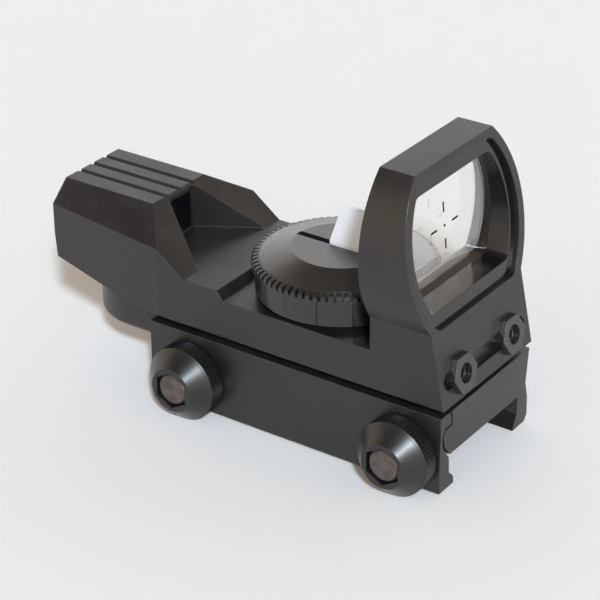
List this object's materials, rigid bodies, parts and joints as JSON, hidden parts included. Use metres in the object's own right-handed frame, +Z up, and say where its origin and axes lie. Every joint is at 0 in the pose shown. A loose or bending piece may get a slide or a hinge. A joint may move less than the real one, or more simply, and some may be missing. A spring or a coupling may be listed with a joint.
{
  "type": "red dot finder",
  "caption": "Open reflex red dot finder: hooded lens, brightness dial over a coin cell, rear emitter block, and a rail clamp with thumb nuts.",
  "frame": {"origin": "middle of the rail seat, the flat face that rests on top of the rail", "axes": "+X forward from the emitter towards the lens, +Y left away from the clamp knobs, +Z up"},
  "size_m": [0.085, 0.0388, 0.0556],
  "materials": {
    "base_paint": "satin black anodised alloy",
    "body_paint": "satin black anodised alloy",
    "gasket": "matte black",
    "bolt_steel": "brownish plain steel",
    "black_screw": "black oxide",
    "knob_black": "gloss black",
    "lens_glass": "clear, coated",
    "bezel_gloss": "gloss black",
    "mark_ink": "dark ink",
    "window_tint": "dark tinted",
    "inner_plastic": "matte black",
    "led_epoxy": "red epoxy",
    "selector_black": "satin black",
    "spring_steel": "plain",
    "board_green": "solder mask",
    "cell_steel": "bright",
    "contact_brass": "plain",
    "dial_black": "satin black",
    "cap_black": "satin black",
    "seal_rubber": "matte",
    "tab_plastic": "thin translucent film",
    "nut_black": "satin black"
  },
  "bodies": {
    "base": {"mount_base": "base_paint", "clamp_bolts": "bolt_steel", "body_screws": "black_screw", "spacer_plate": "gasket", "body_shell": "body_paint", "lens": "lens_glass", "lens_bezel": "bezel_gloss", "lens_retainer": "bezel_gloss", "reticle_marks": "mark_ink", "emitter_window": "window_tint", "emitter_holder": "inner_plastic", "emitter_led": "led_epoxy", "circuit_board": "board_green", "battery_collar": "inner_plastic", "coin_cell": "cell_steel", "contact_pin": "contact_brass", "contact_leaf": "contact_brass", "detent_ball": "spring_steel", "detent_spring": "spring_steel", "adjuster_nuts": "nut_black"},
    "clamp_plate": {"clamp_plate": "base_paint"},
    "knob_front": {"clamp_knob_front": "knob_black"},
    "knob_rear": {"clamp_knob_rear": "knob_black"},
    "dial": {"dial_ring": "dial_black"},
    "cap_seal": {"cap_seal": "seal_rubber"},
    "cap": {"battery_cap": "cap_black"},
    "tab": {"pull_tab": "tab_plastic"},
    "selector": {"selector_knob": "selector_black", "selector_clip": "spring_steel"},
    "pin_near": {"adjuster_pin_near": "spring_steel"},
    "screw_near": {"adjuster_screw_near": "black_screw"},
    "pin_far": {"adjuster_pin_far": "spring_steel"},
    "screw_far": {"adjuster_screw_far": "black_screw"}
  },
  "joints": [
    {"name": "clamp_slide", "type": "slide", "parent": "base", "child": "clamp_plate", "axis": [0, -1, 0], "range_m": [0, 0.003]},
    {"name": "knob_front_turn", "type": "hinge", "parent": "clamp_plate", "child": "knob_front", "pos_m": [0.0228, -0.017, -0.0001], "axis": [0, -1, 0], "range_deg": [0, 1080]},
    {"name": "knob_rear_turn", "type": "hinge", "parent": "clamp_plate", "child": "knob_rear", "pos_m": [-0.0208, -0.017, -0.0001], "axis": [0, -1, 0], "range_deg": [0, 1080]},
    {"name": "dial_turn", "type": "hinge", "parent": "base", "child": "dial", "pos_m": [0.00074, 0, 0.02], "axis": [0, 0, 1], "range_deg": [-150, 150]},
    {"name": "cap_lift", "type": "slide", "parent": "dial", "child": "cap_seal", "axis": [0, 0, 1], "range_m": [0, 0.002]},
    {"name": "cap_turn", "type": "hinge", "parent": "cap_seal", "child": "cap", "pos_m": [0.00074, 0, 0.023], "axis": [0, 0, 1], "range_deg": [0, 720]},
    {"name": "tab_pull", "type": "slide", "parent": "cap", "child": "tab", "axis": [0, 0, 1], "range_m": [0, 0.006]},
    {"name": "selector_turn", "type": "hinge", "parent": "base", "child": "selector", "pos_m": [-0.0384, 0, 0.005], "axis": [0, 0, 1], "range_deg": [0, 270]},
    {"name": "adjuster_near_push", "type": "slide", "parent": "base", "child": "pin_near", "axis": [-0.9807, 0, -0.1956], "range_m": [-0.0005, 0.0005]},
    {"name": "adjuster_near_turn", "type": "hinge", "parent": "pin_near", "child": "screw_near", "pos_m": [0.02951, -0.0078, 0.01375], "axis": [-0.9807, 0, -0.1956], "range_deg": [-360, 360]},
    {"name": "adjuster_far_push", "type": "slide", "parent": "base", "child": "pin_far", "axis": [-0.9807, 0, -0.1956], "range_m": [-0.0005, 0.0005]},
    {"name": "adjuster_far_turn", "type": "hinge", "parent": "pin_far", "child": "screw_far", "pos_m": [0.02951, 0.0078, 0.01375], "axis": [-0.9807, 0, -0.1956], "range_deg": [-360, 360]}
  ],
  "couplings": [
    {"joint": "knob_front_turn", "follows": "clamp_slide", "rad_per_m": 6283.1},
    {"joint": "knob_rear_turn", "follows": "clamp_slide", "rad_per_m": 6283.1},
    {"joint": "cap_turn", "follows": "cap_lift", "rad_per_m": 6283.1},
    {"joint": "adjuster_near_turn", "follows": "adjuster_near_push", "rad_per_m": 12566},
    {"joint": "adjuster_far_turn", "follows": "adjuster_far_push", "rad_per_m": 12566}
  ]
}
